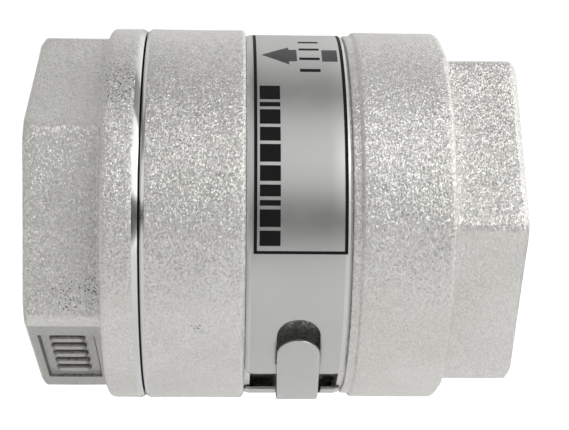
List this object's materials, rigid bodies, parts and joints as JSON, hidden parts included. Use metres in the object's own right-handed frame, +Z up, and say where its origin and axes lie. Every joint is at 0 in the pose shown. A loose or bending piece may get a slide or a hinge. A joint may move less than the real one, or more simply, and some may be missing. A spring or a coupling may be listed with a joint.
{
  "type": "check valve",
  "caption": "Two-piece screwed inline spring check valve with hexagonal ends, female taper pipe threads and a strap nameplate; the guided poppet lifts toward the outlet.",
  "frame": {"origin": "centre of the inlet port's end face, on the flow axis", "axes": "+X out of the inlet along the flow axis, so the flow runs toward -X; +Z up through a flat of the inlet hexagon; the nameplate faces -Y"},
  "size_m": [0.105, 0.0848, 0.0849],
  "materials": {
    "cast_stainless": "investment cast and shot blasted, matt, fine grain",
    "turned_stainless": "turned, satin to bright",
    "strap_stainless": "smooth satin strip with black printed marks",
    "spring_stainless": "bright drawn wire and stamped strip",
    "bronze": "machined bearing bronze",
    "ptfe": "white PTFE",
    "black_gasket": "black compressed fibre gasket",
    "black_rubber": "black rubber"
  },
  "bodies": {
    "housing": {"body": "cast_stainless", "end_cap": "cast_stainless", "body_gasket": "black_gasket", "nameplate_band": "strap_stainless", "seat_gasket": "ptfe", "seat_ring": "turned_stainless", "seat_circlip": "spring_stainless", "inlet_bush": "bronze", "outlet_guide": "turned_stainless", "outlet_bush": "bronze", "spring": "spring_stainless"},
    "spring_carrier": {"spring_seat": "turned_stainless"},
    "poppet": {"valve_disc": "turned_stainless", "disc_seal": "ptfe", "seal_retainer": "turned_stainless", "stem": "turned_stainless", "stem_o_ring": "black_rubber", "lock_washer": "spring_stainless", "stem_nut": "turned_stainless", "stem_clip": "spring_stainless"}
  },
  "joints": [
    {"name": "poppet_lift", "type": "slide", "parent": "housing", "child": "spring_carrier", "axis": [-1, 0, 0], "range_m": [0, 0.01], "stiffness_N_per_m": 816, "springref_m": -0.0074, "deforming": ["spring"]},
    {"name": "poppet_spin", "type": "hinge", "parent": "spring_carrier", "child": "poppet", "pos_m": [-0.045, 0, 0], "axis": [1, 0, 0], "continuous": true}
  ]
}
